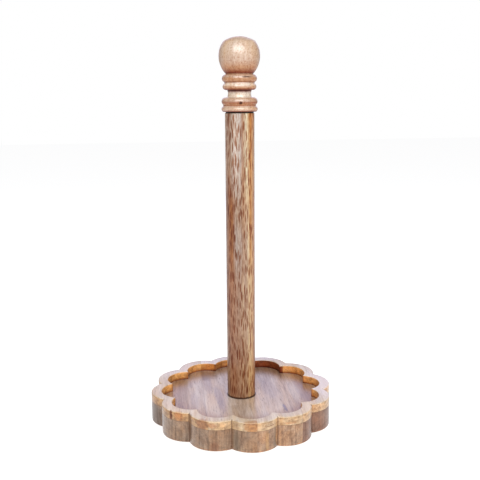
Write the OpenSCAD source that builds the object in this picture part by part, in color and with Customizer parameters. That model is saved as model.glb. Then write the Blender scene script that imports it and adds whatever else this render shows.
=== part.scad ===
// Paper towel holder: a scalloped wooden tray, a round post and a turned finial
// that unscrews. Millimetres, +Z up. The origin is the centre of the footprint,
// on the surface that the pads stand on.

/* [Tray] */
// Number of scallops around the tray
lobes = 12; // [8:1:16]
// Radius to the tip of an outer scallop
tray_tip_r = 82.4; // [80:0.1:86]
// Radius to the notch between two outer scallops
tray_notch_r = 75.2; // [72:0.1:77]
// Radius to the deepest point of a scallop inside the rim
well_tip_r = 73; // [70:0.1:73.5]
// Radius to the cusp between two scallops inside the rim
well_cusp_r = 63.8; // [61:0.1:65]
// Thickness of the glued board under the rim
board_t = 19; // [16:0.5:24]
// Height of the rim above the board
rim_t = 7.5; // [5:0.5:10]
// Width of the two middle strips that the board and rim are glued from
strip_w = 40; // [36:0.5:44]
// Distance from the post's axis to the nearest glue line
seam_x = 5.5; // [5:0.5:9]
// Clockwise turn of the glue lines, seen from above, from front to back
grain_turn = 3.5; // [0:0.5:10]

/* [Post] */
// Diameter of the post
post_d = 25.4; // [24:0.1:28]
// Length of the post above the board
post_h = 256; // [230:1:280]

/* [Finial] */
// Radius of the ball
ball_r = 17.7; // [17:0.1:18.4]
// Height of the ball's widest point above the finial's underside
ball_z = 47; // [46:0.1:48]
// Smallest radius of the neck between the two pairs of beads
neck_r = 9.9; // [9:0.1:11]
// Height of the shadow gap between the finial and the post
gap_h = 1; // [0.6:0.1:2]

/* [Hardware] */
// Diameter of the stud and the bolt
thread_d = 8; // [6:1:8]
// Lead of the thread
thread_pitch = 1.25; // [1:0.05:1.5]
// Length of stud in the post
stud_in_post = 15; // [12:1:17]
// Length of stud in the finial
stud_in_finial = 20; // [14:1:24]
// Length of the bolt's shank
bolt_l = 30; // [28:1:32]
// Length of a threaded insert
insert_l = 18; // [18:1:22]

/* [Pads] */
// Thickness of a pad
pad_t = 2; // [1.5:0.5:3]
// Diameter of a pad
pad_d = 16; // [12:1:20]
// Distance from the tray's centre to a pad's centre
pad_reach = 58; // [40:1:62]

/* [Hidden] */
$fn = 96;

lobe_half = 180 / lobes;              // half the angle of one scallop
board_z = pad_t;                      // underside of the board
floor_z = board_z + board_t;          // floor of the tray, and the post's foot
rim_z = floor_z + rim_t;              // top of the rim
post_top = floor_z + post_h;
finial_z = post_top + gap_h;          // underside of the finial's lowest bead

past = 1;                             // how far a cutter runs past a face
play = 0.05;                          // radial clearance of a thread or a press seat
outside = tray_tip_r + 10;            // beyond the tray in every direction
seams = [-outside, seam_x - strip_w, seam_x, seam_x + strip_w, outside];

thread_r = thread_d / 2;
insert_r = thread_r + 2;
flange_r = thread_r + 3.5;
flange_t = 1.5;
washer_r = 10;
washer_t = 1.6;
head_r = 7;
head_t = 4.4;
socket_across = 5;                    // hex key size
socket_depth = 3;
counterbore_r = 11;
counterbore_h = 7;
seat_r = 12.1;                        // boss under the finial, in the shadow gap
beads = [[2.3, 15.6, 2.5], [8.7, 15.45, 3.6], [21.2, 14.5, 2.9], [28, 15, 3.5]];
lower_groove_r = 14.1;                // between the two lower beads
upper_groove_r = 12.95;               // between the two upper beads
neck_top = 18.4;
neck_mid = 15.4;                      // height where the neck is smallest
waist_r = 7;                          // roundness of the neck's waist
collar_r = 11.55;                     // between the top bead and the ball
collar_top = 33.2;
lower_fullness = 4.6;
crown_fullness = 1.4;
crown_r = 25;                         // roundness of the ball's top
crown_h = 15.95;                      // the ball's top above its widest point
thread_tip = 1;                       // chamfer at a thread's end

wood_tray = "tan";
wood_post = "peru";
wood_finial = "burlywood";
steel = "silver";
brass = "goldenrod";
rubber = "dimgray";

// ---------- Tray ----------

// Flower outline: arcs that meet in notches at notch_r and reach tip_r between them.
module flower(notch_r, tip_r) {
    centre = (tip_r * tip_r - notch_r * notch_r) / (2 * (tip_r - notch_r * cos(lobe_half)));
    circle(r = centre);
    for (k = [0 : lobes - 1])
        rotate(k * 360 / lobes) translate([centre, 0]) circle(r = tip_r - centre);
}

// One glued strip's share of the plan: between two seams, and on one side of
// the middle if side is -1 (front) or 1 (back).
module strip_plan(n, side = 0) {
    low = side > 0 ? 0 : -outside;
    high = side < 0 ? 0 : outside;
    rotate(-grain_turn)
        translate([seams[n], low]) square([seams[n + 1] - seams[n], high - low]);
}

// The bolt's hole through the board, and the counterbore for its head.
module bolt_cutter() {
    translate([0, 0, board_z - past]) cylinder(r = thread_r + play, h = board_t + 2 * past);
    translate([0, 0, board_z - past]) cylinder(r = counterbore_r, h = counterbore_h + past);
}

module board_strip(n) {
    color(wood_tray) difference() {
        translate([0, 0, board_z]) linear_extrude(board_t) intersection() {
            flower(tray_notch_r, tray_tip_r);
            strip_plan(n);
        }
        bolt_cutter();
    }
}

module rim_piece(n, side = 0) {
    color(wood_tray) translate([0, 0, floor_z]) linear_extrude(rim_t) intersection() {
        difference() {
            flower(tray_notch_r, tray_tip_r);
            flower(well_cusp_r, well_tip_r);
        }
        strip_plan(n, side);
    }
}

// ---------- Post ----------

// Seat for an insert whose flange lies flush at z = 0, running up along +Z.
module insert_seat(extra) {
    translate([0, 0, -past]) cylinder(r = flange_r + play, h = flange_t + past);
    cylinder(r = insert_r + play, h = insert_l + extra);
}

module post() {
    spare_bore = 6; // bore past the insert, for the end of the bolt or stud
    color(wood_post) difference() {
        translate([0, 0, floor_z]) cylinder(d = post_d, h = post_h);
        translate([0, 0, floor_z]) insert_seat(spare_bore);
        translate([0, 0, post_top]) mirror([0, 0, 1]) insert_seat(spare_bore);
    }
}

// Threaded insert: flange at z = 0, body along +Z with wood threads as rings.
module insert() {
    ring_h = 1.2;
    ring_gap = 3;
    rings = floor((insert_l - flange_t) / ring_gap) - 1;
    color(brass) difference() {
        union() {
            cylinder(r = flange_r, h = flange_t);
            cylinder(r = insert_r - 1, h = insert_l);
            for (k = [1 : rings])
                translate([0, 0, flange_t + k * ring_gap]) cylinder(r = insert_r, h = ring_h);
        }
        translate([0, 0, -past]) cylinder(r = thread_r + play, h = insert_l + 2 * past);
    }
}

module post_bottom_insert() {
    translate([0, 0, floor_z]) insert();
}

module post_top_insert() {
    translate([0, 0, post_top]) mirror([0, 0, 1]) insert();
}

// ---------- Base bolt ----------

module base_washer() {
    color(steel) translate([0, 0, board_z + counterbore_h - washer_t]) difference() {
        cylinder(r = washer_r, h = washer_t);
        translate([0, 0, -past]) cylinder(r = thread_r + 4 * play, h = washer_t + 2 * past);
    }
}

module base_bolt() {
    under_head = board_z + counterbore_h - washer_t;
    color(steel) difference() {
        union() {
            translate([0, 0, under_head - head_t]) cylinder(r = head_r, h = head_t);
            translate([0, 0, under_head]) cylinder(r = thread_r, h = bolt_l - thread_tip);
            translate([0, 0, under_head + bolt_l - thread_tip])
                cylinder(r1 = thread_r, r2 = thread_r - thread_tip, h = thread_tip);
        }
        translate([0, 0, under_head - head_t - past])
            cylinder(d = socket_across / cos(30), h = socket_depth + past, $fn = 6);
    }
}

// ---------- Finial ----------
// Its profile is drawn with the turning axis as x = 0 and its underside as y = 0.

// Half-round bead whose middle is at height z, reaching radius r, with roundness q.
module bead(z, r, q) {
    translate([r - q, z]) circle(r = q);
    translate([0, z - q]) square([r - q, 2 * q]);
}

// Plain round core from height low to height high.
module core(low, high, r) {
    translate([0, low]) square([r, high - low]);
}

// Arc that reaches ball_r at ball_z. Its centre lies behind the axis by its fullness,
// so it leaves the widest point more slowly than a sphere would.
module ball_arc(fullness) {
    translate([-fullness, ball_z]) circle(r = ball_r + fullness);
}

// Full below its middle, a little flattened on top.
module ball() {
    intersection() {
        ball_arc(crown_fullness);
        translate([0, ball_z + crown_h - crown_r]) circle(r = crown_r);
        core(ball_z, ball_z + ball_r, ball_r);
    }
    intersection() {
        ball_arc(lower_fullness);
        core(ball_z - ball_r, ball_z, ball_r);
    }
}

// Waisted between the lower and the upper pair of beads.
module neck() {
    difference() {
        core(0, neck_top, neck_r + past);
        translate([neck_r + waist_r, neck_mid]) circle(r = waist_r);
    }
}

module finial_profile() {
    intersection() {
        union() {
            for (b = beads) bead(b[0], b[1], b[2]);
            core(0, beads[1][0], lower_groove_r);
            neck();
            core(beads[2][0], beads[3][0], upper_groove_r);
            core(beads[3][0], collar_top, collar_r);
            ball();
        }
        square([ball_r + past, ball_z + ball_r]);
    }
    core(play - gap_h, 0, seat_r);
}

module finial() {
    color(wood_finial) translate([0, 0, finial_z]) difference() {
        rotate_extrude() finial_profile();
        translate([0, 0, -gap_h - past])
            cylinder(r = thread_r + play, h = stud_in_finial + gap_h + past + 1);
    }
}

module finial_stud() {
    length = stud_in_post + gap_h + stud_in_finial;
    color(steel) translate([0, 0, post_top - stud_in_post]) {
        cylinder(r1 = thread_r - thread_tip, r2 = thread_r, h = thread_tip);
        translate([0, 0, thread_tip]) cylinder(r = thread_r, h = length - 2 * thread_tip);
        translate([0, 0, length - thread_tip])
            cylinder(r1 = thread_r, r2 = thread_r - thread_tip, h = thread_tip);
    }
}

// ---------- Pads ----------

module pad(angle) {
    color(rubber) rotate(angle) translate([pad_reach, 0, 0]) cylinder(d = pad_d, h = pad_t);
}

board_strip(0);  // board_strip_left
board_strip(1);  // board_strip_mid_left
board_strip(2);  // board_strip_mid_right
board_strip(3);  // board_strip_right
rim_piece(0);  // rim_left
rim_piece(1, -1);  // rim_front_left
rim_piece(1, 1);  // rim_back_left
rim_piece(2, -1);  // rim_front_right
rim_piece(2, 1);  // rim_back_right
rim_piece(3);  // rim_right
post();
post_top_insert();
post_bottom_insert();
base_bolt();
base_washer();
finial_stud();
finial();
pad(225);  // pad_front_left
pad(315);  // pad_front_right
pad(135);  // pad_back_left
pad(45);  // pad_back_right
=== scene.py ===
"""Looks of the paper towel holder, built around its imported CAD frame. Metres, +Z up, the front faces -Y."""
import math
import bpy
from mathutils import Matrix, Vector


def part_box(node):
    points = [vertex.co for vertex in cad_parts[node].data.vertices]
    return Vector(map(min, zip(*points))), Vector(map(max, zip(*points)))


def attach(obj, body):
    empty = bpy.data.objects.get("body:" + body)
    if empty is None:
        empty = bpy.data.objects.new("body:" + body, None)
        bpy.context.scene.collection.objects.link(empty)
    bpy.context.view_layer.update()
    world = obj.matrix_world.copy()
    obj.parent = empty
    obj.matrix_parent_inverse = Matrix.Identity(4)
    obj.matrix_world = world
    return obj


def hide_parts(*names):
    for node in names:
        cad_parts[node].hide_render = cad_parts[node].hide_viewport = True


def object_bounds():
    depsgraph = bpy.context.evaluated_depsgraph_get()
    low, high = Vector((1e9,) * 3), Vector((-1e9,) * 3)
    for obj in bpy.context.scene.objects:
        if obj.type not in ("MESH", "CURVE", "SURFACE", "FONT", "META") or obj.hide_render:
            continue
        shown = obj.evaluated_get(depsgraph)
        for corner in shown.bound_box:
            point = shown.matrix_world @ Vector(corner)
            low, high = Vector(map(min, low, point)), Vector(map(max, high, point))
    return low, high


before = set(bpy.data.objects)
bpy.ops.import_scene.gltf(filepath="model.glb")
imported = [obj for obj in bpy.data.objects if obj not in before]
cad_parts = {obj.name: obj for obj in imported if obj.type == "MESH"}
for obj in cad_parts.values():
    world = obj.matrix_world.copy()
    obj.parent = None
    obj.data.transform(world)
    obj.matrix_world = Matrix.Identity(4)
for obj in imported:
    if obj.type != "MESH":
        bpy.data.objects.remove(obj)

from types import SimpleNamespace

import bmesh
import bpy
import numpy as np
from mathutils import Matrix, Vector

cad_low, cad_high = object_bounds()
MM = 0.001

# ---------- Sizes, in mm as in the CAD source ----------

LOBES = 12
TRAY_TIP, TRAY_NOTCH = 82.4, 75.2
WELL_TIP, WELL_CUSP = 73.0, 63.8
SEAMS = (-34.5, 5.5, 45.5)
GRAIN_TURN = math.radians(-3.5)
BOARD_LOW, BOARD_HIGH = (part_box("board_strip_left")[k].z / MM for k in (0, 1))
RIM_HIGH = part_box("rim_left")[1].z / MM
POST_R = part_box("post")[1].x / MM
POST_LOW, POST_HIGH = (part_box("post")[k].z / MM for k in (0, 1))
BOSS_H = 0.95  # the boss in the shadow gap, under the finial's lowest bead
FINIAL_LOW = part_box("finial")[0].z / MM + BOSS_H
FINIAL_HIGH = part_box("finial")[1].z / MM
STUD_LOW, STUD_HIGH = (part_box("finial_stud")[k].z / MM for k in (0, 1))
THREAD_R, THREAD_PITCH, THREAD_DEPTH = 4.0, 1.25, 0.7
BORE_R = 4.05
CREASE = 35  # degrees between two faces that keep a sharp edge
PAST = 5.0  # how far a cutter runs past a face


# ---------- Camera's place, in metres and radians ----------

CAMERA_BEARING = math.radians(-98.755)
CAMERA_REACH, CAMERA_HEIGHT = 0.6712, 0.2948
CAMERA_PITCH, CAMERA_ROLL, CAMERA_YAW = math.radians(10.9), -0.0065, 0.0006
SENSOR_WIDTH, LENS = 36, 57.72  # mm
CENTRE = Vector((0, 0, cad_high.z / 2))


def on_bearing(angle, reach, height):
    """The point at that angle round Z, distance from the axis and height."""
    return Vector((reach * math.cos(angle), reach * math.sin(angle), height))


# ---------- Mesh helpers ----------

def finished(name, bm, crease=CREASE):
    """An object from a bmesh in mm, facing out, smooth except at creases."""
    bmesh.ops.recalc_face_normals(bm, faces=bm.faces)
    mesh = bpy.data.meshes.new(name)
    bm.to_mesh(mesh)
    bm.free()
    mesh.transform(Matrix.Scale(MM, 4))
    mesh.shade_smooth()
    mesh.set_sharp_from_angle(angle=math.radians(crease))
    piece = bpy.data.objects.new(name, mesh)
    bpy.context.scene.collection.objects.link(piece)
    return piece


def bridge(bm, rings):
    """Quads between rings of vertices; a ring of one vertex is a pole."""
    for low, high in zip(rings, rings[1:]):
        count = max(len(low), len(high))
        for k in range(count):
            j = (k + 1) % count
            corners = (low[k % len(low)], low[j % len(low)], high[j % len(high)], high[k % len(high)])
            bm.faces.new(list(dict.fromkeys(corners)))


def revolve(name, profile, segments=144, crease=CREASE):
    """A solid of revolution about Z from a profile of (radius, height) that starts and ends on the axis."""
    bm = bmesh.new()
    turns = np.linspace(0, 2 * math.pi, segments, endpoint=False)
    rings = []
    for r, z in profile:
        angles = turns if r > 0 else turns[:1]
        rings.append([bm.verts.new((r * math.cos(a), r * math.sin(a), z)) for a in angles])
    bridge(bm, rings)
    return finished(name, bm, crease)


def rounded(corner, before, after, radius, steps=5):
    """The points of a quarter-like bend that eases one corner of a profile."""
    corner, before, after = (Vector(p) for p in (corner, before, after))
    start = corner + (before - corner).normalized() * radius
    end = corner + (after - corner).normalized() * radius
    points = []
    for t in np.linspace(0, 1, steps):
        points.append(tuple(start * (1 - t) ** 2 + corner * 2 * t * (1 - t) + end * t ** 2))
    return points


def eased(profile, radii):
    """The profile with a bend of that radius at each corner; 0 keeps the corner."""
    points = []
    for k, radius in enumerate(radii):
        if radius:
            points += rounded(profile[k], profile[k - 1], profile[k + 1], radius)
        else:
            points.append(tuple(profile[k]))
    return points


def cut(piece, cutter, operation):
    """Applies one boolean with the cutter, which is then removed."""
    modifier = piece.modifiers.new("cut", "BOOLEAN")
    modifier.object = cutter
    modifier.operation = operation
    modifier.solver = "EXACT"
    bpy.context.view_layer.update()
    graph = bpy.context.evaluated_depsgraph_get()
    mesh = bpy.data.meshes.new_from_object(piece.evaluated_get(graph))
    piece.modifiers.clear()
    piece.data = mesh
    mesh.shade_smooth()
    mesh.set_sharp_from_angle(angle=math.radians(CREASE))
    bpy.data.objects.remove(cutter)
    return piece


# ---------- Tray ----------

ARC_STEPS = 28
BOTTOM_EASE, RIM_OUTER_EASE, RIM_INNER_EASE = 1.2, 1.0, 0.8
NOTCH_BLEND, CUSP_BLEND = 0.3, 1.4


def flower_angles():
    """Plan angles, closer together at the notches, with one on each notch."""
    half = math.pi / LOBES
    share = np.sin(np.linspace(-0.5, 0.5, ARC_STEPS, endpoint=False) * math.pi)
    return np.concatenate([2 * half * k + half * share for k in range(LOBES)])


def flower_radius(angles, tip, notch, grow=0.0, blend=0.0):
    """Radius of the scalloped outline. grow swells each scallop's arc; blend rounds the notches."""
    half = math.pi / LOBES
    centre = (tip ** 2 - notch ** 2) / (2 * (tip - notch * math.cos(half)))
    arc = tip - centre + grow
    fold = (angles + half) % (2 * half) - half
    own, next_one = (
        centre * np.cos(a) + np.sqrt(np.maximum(arc ** 2 - (centre * np.sin(a)) ** 2, 0))
        for a in (fold, 2 * half - abs(fold))
    )
    gap = np.maximum(blend - abs(own - next_one), 0)
    return np.maximum(own, next_one) + (gap ** 2 / (4 * blend) if blend else 0)


def loop(bm, radii, z):
    """A ring of vertices at height z, one for each plan angle."""
    return [bm.verts.new((r * math.cos(a), r * math.sin(a), z)) for r, a in zip(radii, flower_angles())]


def easing(radius, steps=6):
    """(inset, drop) pairs that round an edge: from the wall to the flat."""
    turns = np.linspace(0, math.pi / 2, steps)
    return [(radius * (1 - math.cos(t)), radius * (1 - math.sin(t))) for t in turns]


def board_blank():
    """The whole scalloped board with an eased lower edge."""
    bm = bmesh.new()
    angles = flower_angles()
    rings = [[bm.verts.new((0, 0, BOARD_HIGH))]]
    rings.append(loop(bm, flower_radius(angles, WELL_TIP, WELL_CUSP, blend=1.0), BOARD_HIGH))
    for share in (0, 0.35, 0.7):
        z = BOARD_HIGH + (BOARD_LOW + BOTTOM_EASE - BOARD_HIGH) * share
        rings.append(loop(bm, flower_radius(angles, TRAY_TIP, TRAY_NOTCH, blend=NOTCH_BLEND), z))
    for inset, drop in easing(BOTTOM_EASE):
        radii = flower_radius(angles, TRAY_TIP, TRAY_NOTCH, -inset, NOTCH_BLEND)
        rings.append(loop(bm, radii, BOARD_LOW + drop))
    rings.append([bm.verts.new((0, 0, BOARD_LOW))])
    bridge(bm, rings)
    return finished("board_blank", bm)


def rim_blank():
    """The whole rim: outer wall, eased top edges and the wall round the well."""
    bm = bmesh.new()
    angles = flower_angles()
    rings = [loop(bm, flower_radius(angles, TRAY_TIP, TRAY_NOTCH, blend=NOTCH_BLEND), BOARD_HIGH)]
    for inset, drop in easing(RIM_OUTER_EASE):
        radii = flower_radius(angles, TRAY_TIP, TRAY_NOTCH, -inset, NOTCH_BLEND)
        rings.append(loop(bm, radii, RIM_HIGH - drop))
    for inset, drop in reversed(easing(RIM_INNER_EASE)):
        radii = flower_radius(angles, WELL_TIP, WELL_CUSP, inset, CUSP_BLEND)
        rings.append(loop(bm, radii, RIM_HIGH - drop))
    rings.append(loop(bm, flower_radius(angles, WELL_TIP, WELL_CUSP, blend=CUSP_BLEND), BOARD_HIGH))
    bridge(bm, rings + rings[:1])
    return finished("rim_blank", bm)


def strip_box(low, high, start, end):
    """A block between two glue lines, which runs from one end to the other along them."""
    height = 2 * (BOARD_HIGH - BOARD_LOW + 1)
    bm = bmesh.new()
    bmesh.ops.create_cube(bm, size=1.0)
    bmesh.ops.scale(bm, verts=bm.verts, vec=(high - low, end - start, height))
    bmesh.ops.translate(bm, verts=bm.verts, vec=((low + high) / 2, (start + end) / 2, BOARD_HIGH))
    bmesh.ops.rotate(bm, verts=bm.verts, matrix=Matrix.Rotation(GRAIN_TURN, 3, "Z"))
    return finished("strip_box", bm)


def bolt_cutter():
    """The bolt's hole through the board, and the counterbore for its head and washer."""
    counterbore_r, counterbore_top = 11.0, BOARD_LOW + 7.0
    profile = [
        (0, BOARD_LOW - PAST), (counterbore_r, BOARD_LOW - PAST), (counterbore_r, counterbore_top),
        (BORE_R, counterbore_top), (BORE_R, BOARD_HIGH + PAST), (0, BOARD_HIGH + PAST),
    ]
    return revolve("bolt_cutter", profile, 96)


def tray_piece(name, blank, strip, side):
    """A glued strip of the blank, counted from the left. side: -1 is its front, 1 its back, 0 the whole."""
    far = TRAY_TIP + PAST
    edges = (-far, *SEAMS, far)
    piece = bpy.data.objects.new(name, blank.data.copy())
    bpy.context.scene.collection.objects.link(piece)
    start = 0 if side > 0 else -far
    end = 0 if side < 0 else far
    return cut(piece, strip_box(edges[strip], edges[strip + 1], start, end), "INTERSECT")


# ---------- Post ----------

def insert_seat(end, into):
    """The profile of an insert's seat in the post's end, from the axis out. into is +1 up or -1 down."""
    flange_r, flange_t, seat_r, depth = 7.55, 1.5, 6.05, 24.0
    return [
        (0, end + into * depth), (seat_r, end + into * depth), (seat_r, end + into * flange_t),
        (flange_r, end + into * flange_t), (flange_r, end),
    ]


def post_piece():
    """The post, with eased ends and a seat for an insert in each."""
    end_r, rows = 9.0, 26
    foot_ease, top_ease = 0.7, 0.5
    outline = [(end_r, POST_LOW), (POST_R, POST_LOW), (POST_R, POST_HIGH), (end_r, POST_HIGH)]
    shell = eased(outline, (0, foot_ease, top_ease, 0))
    sides = [(POST_R, z) for z in np.linspace(POST_LOW, POST_HIGH, rows)[1:-1]]
    middle = len(shell) // 2
    profile = insert_seat(POST_LOW, 1) + shell[:middle] + sides + shell[middle:]
    return revolve("post_wood", profile + insert_seat(POST_HIGH, -1)[::-1], 128)


# ---------- Finial ----------

# Heights are above the finial's underside.
BALL_R, BALL_Z = 17.7, 47.0
LOWER_FULLNESS, CROWN_FULLNESS = 4.6, 1.4
CROWN_R, CROWN_H = 25.0, 15.95
# Each bead's height, reach and roundness
BEADS = ((2.3, 15.6, 2.5), (8.7, 15.45, 3.6), (21.2, 14.5, 2.9), (28.0, 15.0, 3.5))
# Between the beads: from one height to another, the radius of the groove's bottom
GROOVES = ((0, 8.7, 14.1), (21.2, 28.0, 12.95), (28.0, 33.2, 11.55))
NECK_R, NECK_END_R, NECK_Z, NECK_TOP, WAIST_R = 9.9, 10.9, 15.4, 18.4, 7.0


def bulge(z, middle, reach, roundness):
    """Radius at height z of an arc of that roundness which reaches its radius at the middle."""
    rise = z - middle
    return reach - roundness + math.sqrt(roundness ** 2 - rise ** 2) if abs(rise) <= roundness else 0.0


def finial_radius(z):
    """Outer radius of the finial at height z above its underside."""
    reach = [bulge(z, *bead) for bead in BEADS]
    reach += [r for low, high, r in GROOVES if low <= z <= high]
    if z <= NECK_TOP:
        waist = NECK_R + WAIST_R - math.sqrt(max(WAIST_R ** 2 - (z - NECK_Z) ** 2, 0))
        reach.append(min(NECK_END_R, waist))
    if z < BALL_Z:
        reach.append(bulge(z, BALL_Z, BALL_R, BALL_R + LOWER_FULLNESS))
    else:
        crown = bulge(z, BALL_Z + CROWN_H - CROWN_R, CROWN_R, CROWN_R)
        reach.append(min(bulge(z, BALL_Z, BALL_R, BALL_R + CROWN_FULLNESS), crown))
    return max(reach)


def thinned(points, tolerance):
    """The polyline without the points that lie within tolerance of their neighbours' chord."""
    first, last = Vector(points[0]), Vector(points[-1])
    chord = (last - first).normalized()
    away = [abs((Vector(p) - first).cross(chord)) for p in points]
    far = int(np.argmax(away))
    if away[far] <= tolerance:
        return [points[0], points[-1]]
    return thinned(points[: far + 1], tolerance)[:-1] + thinned(points[far:], tolerance)


def finial_piece():
    """The finial, with the stud's bore and the boss in the shadow gap."""
    height, crown_from = FINIAL_HIGH - FINIAL_LOW, 56
    boss_r, bore_top = 12.1, 21.0
    even_steps, crown_steps, tolerance = 1121, 60, 0.012
    even = np.linspace(0, crown_from, even_steps)
    slowing = np.sin(np.linspace(0, 0.5, crown_steps)[1:] * math.pi)
    climb = np.concatenate([even, crown_from + (height - crown_from) * slowing])
    outline = thinned([(finial_radius(min(z, height - 1e-6)), z) for z in climb], tolerance)
    outline[-1] = (0, height)
    inside = [(0, bore_top), (BORE_R, bore_top), (BORE_R, -BOSS_H), (boss_r, -BOSS_H), (boss_r, 0)]
    profile = [(r, FINIAL_LOW + z) for r, z in inside + outline]
    return revolve("finial_wood", profile, 160, crease=50)


def stud_piece():
    """The stud with its real right-hand thread."""
    segments, steps, chamfer = 48, 12, 1.0
    bm = bmesh.new()
    turns = np.linspace(0, 2 * math.pi, segments, endpoint=False)
    rings = [[bm.verts.new((0, 0, STUD_LOW))]]
    for z in np.arange(STUD_LOW, STUD_HIGH + 1e-6, THREAD_PITCH / steps):
        ring = []
        room = THREAD_R - max(chamfer - min(z - STUD_LOW, STUD_HIGH - z), 0)
        for a in turns:
            phase = (z / THREAD_PITCH - a / (2 * math.pi)) % 1
            tooth = min(max(1.5 - abs(phase - 0.5) * 4, 0), 1)
            r = min(THREAD_R - THREAD_DEPTH * (1 - tooth), room)
            ring.append(bm.verts.new((r * math.cos(a), r * math.sin(a), z)))
        rings.append(ring)
    rings.append([bm.verts.new((0, 0, STUD_HIGH))])
    bridge(bm, rings)
    return finished("finial_stud_thread", bm, crease=60)


# ---------- Materials ----------

def srgb(*values):
    """A colour from its 0 to 255 screen values."""
    return tuple((v / 255 / 12.92 if v <= 10 else ((v / 255 + 0.055) / 1.055) ** 2.4) for v in values)


class Nodes:
    """Builds one material's nodes. An input is a number, a tuple or another node's output."""

    def __init__(self, name):
        self.material = bpy.data.materials.new(name)
        self.material.use_nodes = True
        self.tree = self.material.node_tree
        self.tree.nodes.clear()

    def add(self, kind, inputs, output=0, **settings):
        """Adds a node with these inputs and settings, and returns one of its outputs."""
        node = self.tree.nodes.new("ShaderNode" + kind)
        for key, value in settings.items():
            setattr(node, key, value)
        for key, value in inputs.items():
            socket = node.inputs[key]
            if isinstance(value, bpy.types.NodeSocket):
                self.tree.links.new(value, socket)
            else:
                socket.default_value = value
        return node.outputs[output]

    def math(self, operation, a, b=0.0, c=0.0):
        return self.add("Math", {0: a, 1: b, 2: c}, operation=operation)

    def product(self, first, *others):
        for other in others:
            first = self.math("MULTIPLY", first, other)
        return first

    def gap(self, a, b):
        """How far two values are apart."""
        return self.math("ABSOLUTE", self.math("SUBTRACT", a, b))

    def spread(self, value, low, high, to_low=0.0, to_high=1.0):
        """The value's range from low to high, mapped smoothly to another range."""
        names = {"Value": value, "From Min": low, "From Max": high, "To Min": to_low, "To Max": to_high}
        return self.add("MapRange", names, interpolation_type="SMOOTHSTEP")

    def stretch(self, vector, scale):
        return self.add("VectorMath", {0: vector, 1: scale}, operation="MULTIPLY")

    def parts(self, vector):
        """The X, Y and Z of a vector."""
        node = self.tree.nodes.new("ShaderNodeSeparateXYZ")
        self.tree.links.new(vector, node.inputs[0])
        return node.outputs

    def along(self, vector, direction):
        return self.add("VectorMath", {0: vector, 1: direction}, "Value", operation="DOT_PRODUCT")

    def noise(self, vector, scale=1.0, detail=3.0, roughness=0.55, distortion=0.0, output=0):
        names = {"Vector": vector, "Scale": scale, "Detail": detail, "Roughness": roughness,
                 "Distortion": distortion}
        return self.add("TexNoise", names, output)

    def ramp(self, factor, stops):
        node = self.tree.nodes.new("ShaderNodeValToRGB")
        self.tree.links.new(factor, node.inputs[0])
        elements = node.color_ramp.elements
        while len(elements) < len(stops):
            elements.new(0.5)
        for element, (place, colour) in zip(elements, stops):
            element.position = place
            element.color = (*colour, 1)
        return node.outputs[0]

    def mix(self, factor, a, b, blend="MIX"):
        node = self.tree.nodes.new("ShaderNodeMix")
        node.data_type = "RGBA"
        node.blend_type = blend
        factor_in, a_in, b_in = node.inputs[0], node.inputs[6], node.inputs[7]
        for value, socket in ((factor, factor_in), (a, a_in), (b, b_in)):
            if isinstance(value, bpy.types.NodeSocket):
                self.tree.links.new(value, socket)
            else:
                socket.default_value = value if socket == factor_in else (*value, 1)
        return node.outputs[2]

    def tinted(self, share, colour, tint):
        """The colour, multiplied by the tint as far as share says."""
        return self.mix(share, colour, self.mix(1.0, colour, tint, "MULTIPLY"))

    def bump(self, height, distance, strength=1.0, normal=None):
        names = {"Height": height, "Distance": distance, "Strength": strength}
        if normal is not None:
            names["Normal"] = normal
        return self.add("Bump", names)

    def finish(self, **inputs):
        """Joins a Principled shader with these inputs to the output, and returns the material."""
        shader = self.add("BsdfPrincipled", {key.replace("_", " "): value for key, value in inputs.items()})
        out = self.tree.nodes.new("ShaderNodeOutputMaterial")
        self.tree.links.new(shader, out.inputs["Surface"])
        return self.material


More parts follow.
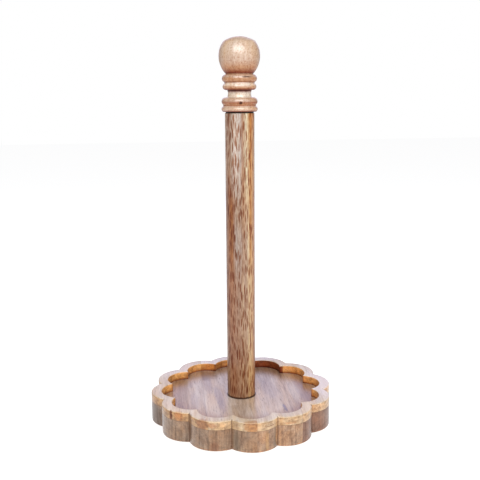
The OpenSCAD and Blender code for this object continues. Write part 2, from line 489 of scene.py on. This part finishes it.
def wood(name, tones, grain, offset, rings=5.0, streaks=1.0, pores=1.0, fine=1.0, sway=6.0, clouds=0.6,
         coat=0.85, gloss=0.26, lustre=1.55, full=0.12, marks=None):
    """Lacquered wood.

    tones run dark, middle, light. grain turns the object so that its fibres run along Z, and offset, in mm,
    moves the pith. rings is the mm between growth rings; streaks, pores and clouds are strengths, fine packs
    the streaks closer and sway bends the fibres. coat, gloss and lustre are the lacquer's weight, roughness
    and index, and wood darker than full takes less of it. marks(nodes, place, colour) adds a piece's own
    figure.
    """
    n = Nodes(name)
    place = n.stretch(n.add("TexCoord", {}, "Object"), (1 / MM,) * 3)
    turned = n.add("Mapping", {"Vector": place, "Rotation": grain.to_euler("XYZ"), "Location": offset})
    wander = n.noise(n.stretch(turned, (0.05, 0.05, 0.010)), detail=2.0, output=1)
    bend = {0: wander, 1: (sway, sway, 0.0), 2: turned}
    swayed = n.add("VectorMath", bend, operation="MULTIPLY_ADD")
    growth = {"Vector": swayed, "Scale": 0.314 / rings, "Distortion": 2.0, "Detail": 2.0, "Detail Scale": 0.5}
    ring = n.add("TexWave", growth, 1, wave_type="RINGS", rings_direction="Z", wave_profile="SAW")
    broad = n.noise(n.stretch(swayed, (0.12, 0.12, 0.012)), detail=2.0)
    streak = n.noise(n.stretch(swayed, (0.75 * fine, 0.75 * fine, 0.05 * fine)), detail=3.0, roughness=0.6)
    fibre = n.noise(n.stretch(swayed, (2.2, 2.2, 0.16)), detail=4.0, roughness=0.7)
    cells = {"Vector": n.stretch(swayed, (0.85, 0.85, 0.085)), "Scale": 1.0, "Randomness": 1.0}
    pore = n.spread(n.add("TexVoronoi", cells), 0.28, 0.12)
    pore = n.product(pore, n.spread(n.noise(n.stretch(swayed, (0.2, 0.2, 0.03))), 0.38, 0.6))
    tone = n.math("MULTIPLY_ADD", ring, 0.10, 0.44 - clouds / 2)
    tone = n.math("MULTIPLY_ADD", broad, clouds, tone)
    tone = n.math("MULTIPLY_ADD", n.math("SUBTRACT", streak, 0.5), 1.5 * streaks, tone)
    tone = n.math("MULTIPLY_ADD", n.math("SUBTRACT", fibre, 0.5), 1.3 * streaks, tone)
    colour = n.ramp(tone, [(0.16, tones[0]), (0.48, tones[1]), (0.80, tones[2])])
    warm = n.noise(n.stretch(swayed, (0.09, 0.09, 0.014)), detail=2.0, distortion=0.4)
    colour = n.mix(1.0, colour, n.ramp(warm, [(0.38, (1, 1, 1)), (0.64, (1.0, 0.88, 0.72))]), "MULTIPLY")
    colour = n.mix(n.product(pore, 0.6 * pores), colour, tuple(0.4 * c for c in tones[0]))
    if marks:
        colour = marks(n, place, colour)
    grit = n.math("MULTIPLY_ADD", fibre, 0.16, 0.34)
    relief = n.math("SUBTRACT", n.product(fibre, 0.35), pore)
    shine = n.spread(n.add("RGBToBW", {"Color": colour}), full / 8, full, 0.0, coat)
    return n.finish(Base_Color=colour, Roughness=grit, IOR=1.5, Specular_IOR_Level=0.2,
                    Normal=n.bump(relief, 0.00006, 0.8),
                    Coat_Weight=shine, Coat_IOR=lustre, Coat_Roughness=gloss)


# ---------- The tray's marks ----------

ACROSS_GRAIN = (math.cos(GRAIN_TURN), math.sin(GRAIN_TURN), 0)
# The second colour is painted shade for the outer notches and the last is painted shade round the post's
# foot; the first and third are the dark glue joints.
GLUE, NOTCH_SHADE_TONE, LAYER_LINE, POST_FOOT_RING_SHADE = srgb(70, 42, 24), srgb(74, 40, 22), srgb(82, 48, 26), srgb(58, 32, 18)


def patch(n, place, colour, centre, reach, tint, strength, ragged=0.8):
    """A soft-edged patch of another colour: an ellipsoid of that reach in mm round its centre."""
    gap = n.add("VectorMath", {0: place, 1: centre}, operation="SUBTRACT")
    away = n.add("VectorMath", {0: n.stretch(gap, tuple(1 / r for r in reach))}, "Value", operation="LENGTH")
    rough = n.noise(n.stretch(place, (0.5, 0.2, 0.8)), detail=3.0)
    away = n.math("MULTIPLY_ADD", n.math("SUBTRACT", rough, 0.5), ragged, away)
    return n.mix(n.spread(away, 1.15, 0.55, 0, strength), colour, tint)


def tray_places(n, place):
    """Where a point of the tray lies. wall, inside and outside are shares from 0 to 1; the rest is in mm."""
    x, y, z = n.parts(place)
    reach = n.math("SQRT", n.math("MULTIPLY_ADD", x, x, n.product(y, y)))
    upright = n.math("ABSOLUTE", n.parts(n.add("NewGeometry", {}, "Normal"))[2])
    inside = n.math("LESS_THAN", reach, (TRAY_NOTCH + WELL_TIP) / 2)
    turn = n.product(n.math("ARCTAN2", y, x), LOBES / (2 * math.pi))
    fold = n.gap(n.math("FRACT", turn), 0.5)
    return SimpleNamespace(
        z=z, reach=reach, to_notch=n.product(fold, 2 * math.pi / LOBES, reach),
        wall=n.spread(upright, 0.75, 0.35), inside=inside, outside=n.math("SUBTRACT", 1.0, inside),
    )


def wall_figure(n, place, flow):
    """A tint for the routed walls: runs of grain, dots of end grain here and there, and a broad stain."""
    run = n.noise(n.stretch(place, flow), detail=3.0, roughness=0.65)
    figure = n.ramp(run, [(0.36, (0.62, 0.57, 0.52)), (0.5, (0.96, 0.96, 0.96)), (0.62, (1.12, 1.12, 1.12))])
    speck = n.noise(n.stretch(place, (0.7, 0.7, 0.5)), detail=2.0, roughness=0.6)
    dots = n.ramp(speck, [(0.34, (0.66, 0.56, 0.48)), (0.48, (1.0, 0.99, 0.98)), (0.62, (1.10, 1.09, 1.07))])
    where = n.spread(n.noise(n.stretch(place, (0.05, 0.05, 0.08)), detail=2.0), 0.44, 0.6, 0.1, 0.65)
    figure = n.tinted(where, figure, dots)
    stain = n.noise(n.stretch(place, (0.08, 0.08, 0.05)), detail=2.0)
    hue = n.ramp(stain, [(0.38, (0.94, 0.95, 0.95)), (0.5, (1.0, 1.0, 1.0)), (0.62, (1.03, 0.97, 0.90))])
    return n.mix(1.0, figure, hue, "MULTIPLY")


def tray_shade_and_tints(n, at, colour):
    """Painted shade in the notches, at the cusps, low on the well's wall, across the well's floor towards its
    wall and round the post's foot; a warmer tint along the board's lower edge and a dark line at the joint
    between board and rim.
    """
    # Painted shade: a dark line down each outer notch.
    notch = n.product(n.spread(at.to_notch, 0.6, 0.05, 0, 0.85), at.outside)
    colour = n.mix(notch, colour, NOTCH_SHADE_TONE)
    # Painted shade: darker at the cusps of the well's wall.
    cusp = n.product(n.spread(at.to_notch, 1.8, 0.2, 0, 0.8), at.inside, at.wall)
    colour = n.tinted(cusp, colour, (0.5, 0.33, 0.22))
    edge = n.product(n.spread(at.z, BOARD_LOW + 2.2, BOARD_LOW + 0.6), at.outside, at.wall)
    colour = n.tinted(edge, colour, (1.18, 0.94, 0.66))
    layer = n.product(n.spread(n.gap(at.z, BOARD_HIGH), 0.45, 0.1, 0, 0.45), at.wall)
    colour = n.mix(layer, colour, LAYER_LINE)
    # Painted shade in the corner where the well's wall meets its floor, darkest at the bottom.
    for height, tint in ((5.0, (0.84, 0.72, 0.62)), (2.6, (0.38, 0.23, 0.15))):
        nook = n.product(n.spread(at.z, BOARD_HIGH + height, BOARD_HIGH), at.wall, at.inside)
        colour = n.tinted(nook, colour, tint)
    # Painted shade: the well's floor darker towards its wall.
    well = n.product(n.math("LESS_THAN", n.gap(at.z, BOARD_HIGH), 0.5), n.math("SUBTRACT", 1.0, at.wall))
    colour = n.tinted(n.product(n.spread(at.reach, 44, 64), well), colour, (0.66, 0.52, 0.42))
    # Painted shade: a dark ring on the floor round the post's foot.
    ring = n.product(n.spread(n.gap(at.reach, POST_R), 1.2, 0.3, 0, 0.85), well)
    return n.mix(ring, colour, POST_FOOT_RING_SHADE)


def tray_marks(seams, outer, inner, flow, patches=()):
    """Marks of a tray piece: glue lines, patches (some painted reflection, sheen or shade), tinted walls that
    also carry painted shade and light, painted shade in the hollows, a warmer lower edge and the dark line at
    the board's joint.

    outer and inner tint the walls, painted shade and light included; flow is the scale of the walls' figure
    along X, Y and Z.
    """

    def marks(n, place, colour):
        offset = n.along(place, ACROSS_GRAIN)
        for seam in seams:
            colour = n.mix(n.spread(n.gap(offset, seam), 0.3, 0.08, 0, 0.3), colour, GLUE)
        for centre, size, tint, strength in patches:
            colour = patch(n, place, colour, centre, size, tint, strength)
        at = tray_places(n, place)
        # The walls' tints carry painted shade and light as well as the wood's tone.
        tint = n.mix(1.0, n.mix(at.inside, outer, inner), wall_figure(n, place, flow), "MULTIPLY")
        return tray_shade_and_tints(n, at, n.tinted(at.wall, colour, tint))

    return marks


# ---------- The post's and the finial's marks ----------

POST_TURN = math.radians(-8.8)
ACROSS_POST = (math.cos(POST_TURN), math.sin(POST_TURN), 0)
# The first colour is painted shade at the post's foot; the second is a knot's own colour.
POST_FOOT_SHADE, KNOT = srgb(58, 30, 16), srgb(58, 22, 14)
BEAD_R = 15  # mm, about where the finial's knots lie


def band(n, value, stops):
    """A tint that changes with a value in mm; stops are (value, colour)."""
    low, high = stops[0][0], stops[-1][0]
    share = n.add("MapRange", {"Value": value, "From Min": low, "From Max": high})
    return n.ramp(share, [((v - low) / (high - low), colour) for v, colour in stops])


def post_marks(n, place, colour):
    """Marks of the post: long stripes, partly a painted reflection, short dark dashes that thin out to the
    right, and painted shade at the foot.
    """
    waver = n.noise(n.stretch(place, (0.06, 0.06, 0.016)), detail=3.0)
    right = n.along(place, ACROSS_POST)
    side = n.math("MULTIPLY_ADD", n.math("SUBTRACT", waver, 0.5), 1.4, right)
    z = n.parts(place)[2]
    # The stripes are partly a painted reflection, palest near the top.
    top, middle, low = (band(n, side, [(row[0], row[k]) for row in POST_STRIPES]) for k in (1, 2, 3))
    tint = n.mix(n.spread(z, 120, 165), low, n.mix(n.spread(z, 195, 235), middle, top))
    colour = n.mix(1.0, colour, tint, "MULTIPLY")
    dash = n.noise(n.stretch(place, (0.9, 0.9, 0.16)), detail=3.0, roughness=0.6)
    cells = {"Vector": n.stretch(place, (0.62, 0.62, 0.085)), "Scale": 1.0, "Randomness": 1.0}
    cell = n.add("TexVoronoi", cells)
    gate = n.noise(n.stretch(place, (0.11, 0.11, 0.03)), detail=2.0)
    gate = n.math("MULTIPLY_ADD", gate, 0.42, n.math("MULTIPLY_ADD", right, -0.004, -0.19))
    dash = n.spread(n.math("ADD", dash, gate), 0.46, 0.62, 0, 0.5)
    line = n.spread(n.math("MULTIPLY_ADD", gate, -0.8, cell), 0.44, 0.26, 0, 0.95)
    for share in (dash, line):
        colour = n.tinted(share, colour, (0.50, 0.24, 0.12))
    # Painted shade: the post's foot darker where it meets the floor.
    rise = n.noise(n.stretch(place, (0.35, 0.35, 0.35)), detail=2.0)
    foot = n.spread(n.math("MULTIPLY_ADD", rise, -3.0, z), POST_LOW + 0.6, POST_LOW - 0.6)
    return n.mix(n.product(foot, 0.85), colour, POST_FOOT_SHADE)


def finial_marks(n, place, colour):
    """Marks of the finial: painted highlights and shade by height, a mottle, a knot and a streak."""
    z = n.parts(place)[2]
    # Painted highlights and shade by height.
    rings = band(n, n.math("SUBTRACT", z, FINIAL_LOW), FINIAL_LIGHT_AND_SHADE_BANDS)
    colour = n.mix(1.0, colour, rings, "MULTIPLY")
    mottle = n.noise(n.stretch(place, (0.85, 0.85, 0.7)), detail=3.0, roughness=0.65)
    mottle = n.ramp(mottle, [(0.36, (0.74, 0.58, 0.46)), (0.5, (1.0, 0.99, 0.98)), (0.62, (1.06, 1.08, 1.1))])
    colour = n.mix(1.0, colour, mottle, "MULTIPLY")
    for bearing, height, wide, tall, strength in FINIAL_KNOTS:
        spot = on_bearing(CAMERA_BEARING + math.radians(bearing), BEAD_R, FINIAL_LOW + height)
        gap = n.add("VectorMath", {0: place, 1: tuple(spot)}, operation="SUBTRACT")
        flat = n.stretch(gap, (1 / wide, 1 / wide, 1 / tall))
        away = n.add("VectorMath", {0: flat}, "Value", operation="LENGTH")
        ragged = n.math("MULTIPLY_ADD", n.noise(n.stretch(place, (1.1, 1.1, 1.6)), detail=2.0), 0.9, away)
        colour = n.mix(n.spread(ragged, 1.5, 0.9, 0, strength), colour, KNOT)
    return colour


# ---------- Other materials ----------

def metal(name, colour, roughness):
    """Metal with fine turning marks round Z and a few dull specks."""
    n = Nodes(name)
    place = n.add("TexCoord", {}, "Object")
    lathe = n.noise(n.stretch(place, (300, 300, 9000)), detail=2.0)
    speck = n.noise(place, 900, detail=4.0)
    shade = n.math("MULTIPLY_ADD", speck, 0.5, n.product(lathe, 0.3))
    tone = n.ramp(shade, [(0.2, tuple(0.6 * c for c in colour)), (0.7, colour)])
    worn = n.math("MULTIPLY_ADD", speck, 0.25, roughness - 0.1)
    return n.finish(Base_Color=tone, Metallic=1.0, Roughness=worn, Normal=n.bump(lathe, 0.00002, 0.4))


def rubber(name):
    """Matt black rubber with a fine moulded grain."""
    n = Nodes(name)
    place = n.add("TexCoord", {}, "Object")
    grain = n.noise(place, 2500, detail=4.0)
    dust = n.noise(place, 260, detail=3.0)
    tone = n.ramp(dust, [(0.3, srgb(30, 29, 29)), (0.75, srgb(58, 56, 55))])
    return n.finish(Base_Color=tone, Roughness=n.math("MULTIPLY_ADD", grain, 0.2, 0.65),
                    Normal=n.bump(grain, 0.00005, 0.5))


def dress(piece, material, body=None, nodes=()):
    """Gives a piece its material and, if it is a new piece, its body, and hides the CAD nodes it stands for.
    """
    piece.data.materials.clear()
    piece.data.materials.append(material)
    if body:
        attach(piece, body)
        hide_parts(*nodes)


# ---------- The tray's pieces ----------

ALONG_Y = Matrix.Rotation(math.radians(90), 3, "X") @ Matrix.Rotation(-GRAIN_TURN, 3, "Z")
# The board's and the rim's tones are partly a painted sheen: paler and cooler than the wood, as the flat tops
# look under the light; the walls' tints darken them again.
BOARD_TONES = (srgb(130, 110, 98), srgb(191, 173, 160), srgb(219, 206, 195))
RIM_TONES = (srgb(170, 148, 125), srgb(209, 192, 170), srgb(234, 224, 210))
RUNS, FLECKS = (0.5, 0.5, 0.04), (0.22, 0.22, 0.3)  # scales of the walls' figure
# Each piece's tints on its outer wall and on the wall round the well. Besides the wood's own tone they hold
# painted shade and light: the walls darker and more saturated than the tops, and each piece's walls lighter
# or darker by the side they face.
WALL_TINTS = {
    "board_strip_left": ((0.47, 0.37, 0.28), (0.62, 0.5, 0.4)),
    "board_strip_mid_left": ((0.47, 0.345, 0.235), (0.62, 0.5, 0.4)),
    "board_strip_mid_right": ((0.64, 0.48, 0.34), (0.62, 0.5, 0.4)),
    "board_strip_right": ((0.36, 0.20, 0.125), (0.62, 0.5, 0.4)),
    "rim_left": ((0.65, 0.45, 0.26), (1.18, 0.76, 0.34)),
    "rim_front_left": ((0.82, 0.72, 0.58), (0.9, 0.5, 0.2)),
    "rim_back_left": ((0.60, 0.38, 0.21), (0.90, 0.46, 0.15)),
    "rim_front_right": ((0.76, 0.62, 0.47), (0.9, 0.5, 0.2)),
    "rim_back_right": ((0.60, 0.38, 0.21), (0.38, 0.105, 0.03)),
    "rim_right": ((0.86, 0.67, 0.49), (1.12, 0.66, 0.28)),
}
# The lilac colour paints a cool reflection of the bright surroundings on the well's floor.
LILAC_REFLECTION, TAN, ORANGE = srgb(136, 124, 134), srgb(166, 140, 112), srgb(202, 146, 92)
# The pearl colour is a painted sheen on the rim's top, at the back and on the right.
VANILLA, DEEP_BROWN, PEARL_SHEEN = srgb(226, 204, 176), srgb(92, 56, 34), srgb(244, 236, 240)
# Each piece's patches of other colours: centre and reach in mm, colour, strength. Some are painted
# reflection, sheen or shade, noted at each.
PATCHES = {
    "board_strip_left": (
        ((-52, 14, 21), (6, 34, 3), TAN, 0.4),
        ((-44, -10, 21), (4, 26, 3), LILAC_REFLECTION, 0.3),
        # Painted shade: the far left outer wall darker and greyer.
        ((-80, -10, 10), (9, 22, 14), srgb(118, 104, 100), 0.7),
        # Painted shade: a dark mark at the front left notch.
        ((-53, -57, 14), (2.5, 3.5, 9), DEEP_BROWN, 0.5),
    ),
    "board_strip_mid_left": (
        ((-28, 28, 21), (5, 24, 3), LILAC_REFLECTION, 0.4),
        ((-21, -8, 21), (4.5, 36, 3), LILAC_REFLECTION, 0.4),
        # Darker towards the well's back wall, on the left.
        ((-32, 50, 21), (18, 14, 3), DEEP_BROWN, 0.5),
        # Painted reflection of the post on the well's floor in front of it.
        ((-10, -46, 21), (9, 22, 3), TAN, 0.25),
        ((-16, -76, 10), (3.5, 6, 12), srgb(150, 142, 128), 0.7),
        ((-34, -74, 6), (4, 6, 5), srgb(170, 120, 84), 0.6),
    ),
    "board_strip_mid_right": (
        ((33, -38, 21), (1.5, 9, 3), srgb(120, 108, 122), 0.85),
        ((28, 10, 21), (8, 30, 3), LILAC_REFLECTION, 0.3),
        ((9, -80, 10), (2, 5, 12), srgb(206, 178, 130), 0.6),
        # Painted shade: a dark line beside the front right notch.
        ((16, -76, 10), (1.2, 6, 12), srgb(120, 110, 92), 0.6),
    ),
    "board_strip_right": (
        ((56, -4, 21), (5, 30, 3), LILAC_REFLECTION, 0.4),
    ),
    "rim_left": (
        ((-68, -46, 25), (1.4, 3, 6), srgb(120, 66, 30), 0.9),
        ((-62, -50, 25), (4, 5, 6), ORANGE, 0.5),
        ((-44, -69, 25), (7, 6, 5), srgb(156, 92, 48), 0.55),
        # Painted shade: the dark mark at the front left notch, on the rim.
        ((-53, -57, 25), (2.5, 3.5, 8), DEEP_BROWN, 0.55),
        ((-52, 54, 29), (26, 30, 2.5), PEARL_SHEEN, 0.3),
    ),
    "rim_front_left": (
        ((-3, -80, 25), (9, 5, 7), srgb(178, 132, 86), 0.9),
        ((-17, -77, 25), (4, 5, 6), TAN, 0.7),
        ((-36, -70, 25), (6, 8, 3), srgb(176, 112, 62), 0.6),
        ((-27, -78, 25), (4, 6, 3), srgb(232, 198, 160), 0.6),
    ),
    "rim_front_right": (
        ((11, -80, 26.5), (5, 5, 1.0), VANILLA, 0.9),
        ((13, -79, 24), (7, 5, 0.5), srgb(150, 104, 66), 0.7),
        ((20, -73, 25), (1.0, 4, 8), VANILLA, 0.9),
        ((38, -72, 25.5), (8, 6, 0.7), VANILLA, 0.8),
        ((30, -74, 23), (6, 5, 1.2), ORANGE, 0.5),
    ),
    "rim_right": (
        ((62, -52, 25), (5, 5, 4), VANILLA, 0.5),
        ((76, -6, 29), (16, 40, 2.5), PEARL_SHEEN, 0.5),
    ),
    "rim_back_left": (
        ((-20, 74, 29), (50, 20, 2.5), PEARL_SHEEN, 0.5),
    ),
    "rim_back_right": (
        ((24, 74, 29), (30, 16, 2.5), PEARL_SHEEN, 0.45),
    ),
}


def tray_wood(node, index, is_board, seams):
    """The wood of one tray piece, each sawn from another part of the log; its walls' tints also carry painted
    shade and light.
    """
    tones, streaks, flow = (BOARD_TONES, 0.42, RUNS) if is_board else (RIM_TONES, 0.36, FLECKS)
    pith = (37.0 * (index % 3) - 30, 55.0 + 23 * (index % 4), 211.0 * index)
    marks = tray_marks(seams, *WALL_TINTS[node], flow, PATCHES.get(node, ()))
    return wood(node, tones, ALONG_Y, pith, streaks=streaks, marks=marks)


board = board_blank()
cut(board, bolt_cutter(), "DIFFERENCE")
rim = rim_blank()
# Node, blank, strip from the left, and side: front (-1), back (1) or both (0)
TRAY = (
    ("board_strip_left", board, 0, 0), ("board_strip_mid_left", board, 1, 0),
    ("board_strip_mid_right", board, 2, 0), ("board_strip_right", board, 3, 0),
    ("rim_left", rim, 0, 0), ("rim_front_left", rim, 1, -1), ("rim_back_left", rim, 1, 1),
    ("rim_front_right", rim, 2, -1), ("rim_back_right", rim, 2, 1), ("rim_right", rim, 3, 0),
)
for index, (node, blank, strip, side) in enumerate(TRAY):
    piece = tray_piece(node + "_wood", blank, strip, side)
    is_board = blank is board
    material = tray_wood(node, index, is_board, SEAMS[max(strip - 1, 0):strip + 1])
    dress(piece, material, "holder", [node])
for blank in (board, rim):
    bpy.data.objects.remove(blank)

# ---------- The post and the finial ----------

UPRIGHT = Matrix.Identity(3)
POST_TONES = (srgb(134, 106, 84), srgb(182, 164, 146), srgb(208, 194, 180))
FINIAL_TONES = (srgb(138, 108, 86), srgb(184, 164, 147), srgb(212, 202, 194))
# The first three tones are a painted reflection on the post; the fourth is the wood's own.
SHEEN_CHALK, SHEEN_ASH, SHEEN_MAUVE, TAUPE = (1.05, 1.1, 1.2), (0.82, 0.88, 0.98), (0.66, 0.64, 0.68), (0.64, 0.51, 0.44)
UMBER, RUSSET, RUST = (0.6, 0.42, 0.33), (0.7, 0.44, 0.3), (0.58, 0.28, 0.1)
STRAW, WHEAT, CLAY = (1.1, 1.25, 1.15), (0.84, 0.79, 0.7), (0.78, 0.67, 0.56)
GOLD, AMBER, HONEY = (1.0, 0.86, 0.6), (0.77, 0.41, 0.1), (0.97, 0.69, 0.42)
# The post's long stripes: mm right of its axis, then the tone near the top, half-way and near the foot. The
# pale grey and lilac tones on the left and middle, palest near the top, are a painted reflection of the
# bright surroundings; the rest is the wood's own.
POST_STRIPES = (
    (-12.7, SHEEN_CHALK, TAUPE, CLAY),
    (-9, TAUPE, RUST, RUSSET),
    (-7, SHEEN_ASH, RUST, RUSSET),
    (-4, SHEEN_CHALK, SHEEN_MAUVE, UMBER),
    (0, SHEEN_ASH, SHEEN_MAUVE, TAUPE),
    (2.1, UMBER, TAUPE, CLAY),
    (3.4, CLAY, TAUPE, TAUPE),
    (5.8, STRAW, WHEAT, CLAY),
    (7.4, GOLD, GOLD, GOLD),
    (8.8, AMBER, AMBER, GOLD),
    (10.4, HONEY, HONEY, HONEY),
    (12.7, TAUPE, RUSSET, RUST),
)
# The first three tones are painted shadow and shade, for the gap and the grooves.
SHADOW_BLACK, DEEP_SHADE, GROOVE_SHADE = (0.02, 0.015, 0.01), (0.36, 0.08, 0.04), (0.54, 0.22, 0.1)
CARAMEL, BISCUIT, OAT = (0.76, 0.45, 0.22), (0.93, 0.74, 0.6), (0.84, 0.73, 0.66)
# The second tone here is a painted highlight.
MILK, HIGHLIGHT_CREAM = (1.0, 0.94, 0.86), (1.3, 1.4, 1.45)
# The finial's rings: mm above its underside, then the tone. They paint light and shade: highlights on the
# beads' crowns, the neck and the ball's upper part, shade in the grooves and on the beads' lower sides, and a
# black shadow on the boss in the gap under the lowest bead.
FINIAL_LIGHT_AND_SHADE_BANDS = (
    (-1, SHADOW_BLACK), (-0.05, SHADOW_BLACK),
    (0.4, DEEP_SHADE), (1.6, BISCUIT), (4.4, MILK), (5.4, GROOVE_SHADE), (6.5, CARAMEL),
    (7.6, GROOVE_SHADE), (9.5, OAT), (11.2, BISCUIT),
    (12.4, HIGHLIGHT_CREAM), (15.8, HIGHLIGHT_CREAM),
    (17.4, DEEP_SHADE), (18, SHADOW_BLACK), (18.6, DEEP_SHADE), (19.3, GROOVE_SHADE), (20.2, CARAMEL),
    (21.4, BISCUIT), (22.6, HIGHLIGHT_CREAM), (23.9, HIGHLIGHT_CREAM), (24.8, GROOVE_SHADE), (25.8, CARAMEL),
    (27.5, CARAMEL), (29.5, OAT), (31.3, BISCUIT), (32.7, DEEP_SHADE), (33.9, GROOVE_SHADE),
    (37, CARAMEL), (43, OAT), (50, (0.96, 0.92, 0.88)), (56, (1.02, 1.0, 0.98)), (62, (1.08, 1.0, 0.88)),
)
# Knots on the beads: degrees to the camera's right, height, width and thickness in mm, strength
FINIAL_KNOTS = ((4, 7.5, 1.9, 1.5, 1.0), (25, 29.2, 5.5, 0.8, 0.75))

post_wood = wood("post", POST_TONES, UPRIGHT, (22, 14, 0), rings=3.5, streaks=0.5, pores=0.4, fine=1.5,
                 sway=0.7, clouds=0.15, coat=0.45, marks=post_marks)
dress(post_piece(), post_wood, "holder", ["post"])
finial_wood = wood("finial", FINIAL_TONES, UPRIGHT, (-38, 26, 60), rings=4, streaks=0.13, pores=0.3,
                   clouds=0.35, coat=1.0, gloss=0.42, lustre=1.85, full=0.3, marks=finial_marks)
dress(finial_piece(), finial_wood, "finial", ["finial"])
steel = metal("zinc_plated_steel", srgb(196, 197, 200), 0.34)
dress(stud_piece(), steel, "finial", ["finial_stud"])

# ---------- CAD nodes that keep their shape ----------

brass = metal("plain_brass", srgb(214, 178, 104), 0.3)
pad_rubber = rubber("pad_rubber")
KEPT = {
    brass: ("post_top_insert", "post_bottom_insert"),
    steel: ("base_bolt", "base_washer"),
    pad_rubber: ("pad_front_left", "pad_front_right", "pad_back_left", "pad_back_right"),
}
for material, nodes in KEPT.items():
    for node in nodes:
        dress(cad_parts[node], material)
        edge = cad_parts[node].modifiers.new("eased_edges", "BEVEL")
        edge.width = 0.25 * MM
        edge.segments = 2
        edge.angle_limit = math.radians(40)


# ---------- Floor, light and camera ----------

def softbox(name, bearing, elevation, distance, size, power, colour=(1, 1, 1)):
    """A soft rectangular light aimed at the holder. bearing is to the camera's right, in degrees."""
    data = bpy.data.lights.new(name, "AREA")
    data.shape = "RECTANGLE"
    data.size, data.size_y = size
    data.energy = power
    data.color = colour
    light = bpy.data.objects.new(name, data)
    rise = math.radians(elevation)
    light.location = CENTRE + on_bearing(CAMERA_BEARING + math.radians(bearing), distance * math.cos(rise),
                                         distance * math.sin(rise))
    light.rotation_mode = "QUATERNION"
    light.rotation_quaternion = (CENTRE - light.location).to_track_quat("-Z", "Y")
    light.visible_camera = False
    bpy.context.scene.collection.objects.link(light)


def floor():
    """A plain sheet just under the pads, which glows so that it looks white."""
    reach, drop = 4000, 0.2
    bm = bmesh.new()
    bmesh.ops.create_grid(bm, x_segments=8, y_segments=8, size=reach)
    bmesh.ops.translate(bm, verts=bm.verts, vec=(0, 0, -drop))
    sheet = finished("floor", bm)
    n = Nodes("floor_white")
    n.finish(Base_Color=(0.4, 0.4, 0.41, 1), Roughness=0.8, Specular_IOR_Level=0.0,
             Emission_Color=(1, 1, 1, 1), Emission_Strength=0.85)
    sheet.data.materials.append(n.material)


def camera():
    """The camera, which pitches down and is a little rolled and turned off the holder's axis."""
    data = bpy.data.cameras.new("camera")
    data.sensor_width = SENSOR_WIDTH
    data.lens = LENS
    eye = bpy.data.objects.new("camera", data)
    eye.location = on_bearing(CAMERA_BEARING, CAMERA_REACH, CAMERA_HEIGHT)
    gaze = -on_bearing(CAMERA_BEARING + CAMERA_YAW, math.cos(CAMERA_PITCH), math.sin(CAMERA_PITCH))
    eye.rotation_mode = "QUATERNION"
    level = gaze.to_track_quat("-Z", "Y").to_matrix()
    eye.rotation_quaternion = (level @ Matrix.Rotation(CAMERA_ROLL, 3, "Z")).to_quaternion()
    bpy.context.scene.collection.objects.link(eye)
    bpy.context.scene.camera = eye


def surroundings():
    """A white backdrop that lights the holder only weakly, so that the soft boxes shape it."""
    light_level, seen_level = 0.3, 1.0
    world = bpy.data.worlds.new("studio")
    world.use_nodes = True
    tree = world.node_tree
    background = tree.nodes["Background"]
    path = tree.nodes.new("ShaderNodeLightPath")
    level = tree.nodes.new("ShaderNodeMapRange")
    level.inputs["To Min"].default_value = light_level
    level.inputs["To Max"].default_value = seen_level
    background.inputs["Color"].default_value = (1, 1, 1, 1)
    tree.links.new(path.outputs["Is Camera Ray"], level.inputs["Value"])
    tree.links.new(level.outputs[0], background.inputs["Strength"])
    bpy.context.scene.world = world
    bpy.context.scene.view_settings.view_transform = "Standard"


floor()
surroundings()
softbox("key", -3, 38.5, 1.35, (1.2, 0.7), 20)
softbox("fill", 60, 14, 1.4, (0.8, 1.0), 4.5)
softbox("back", 180, 24, 1.5, (1.8, 0.9), 6, (0.66, 0.6, 1.0))
camera()
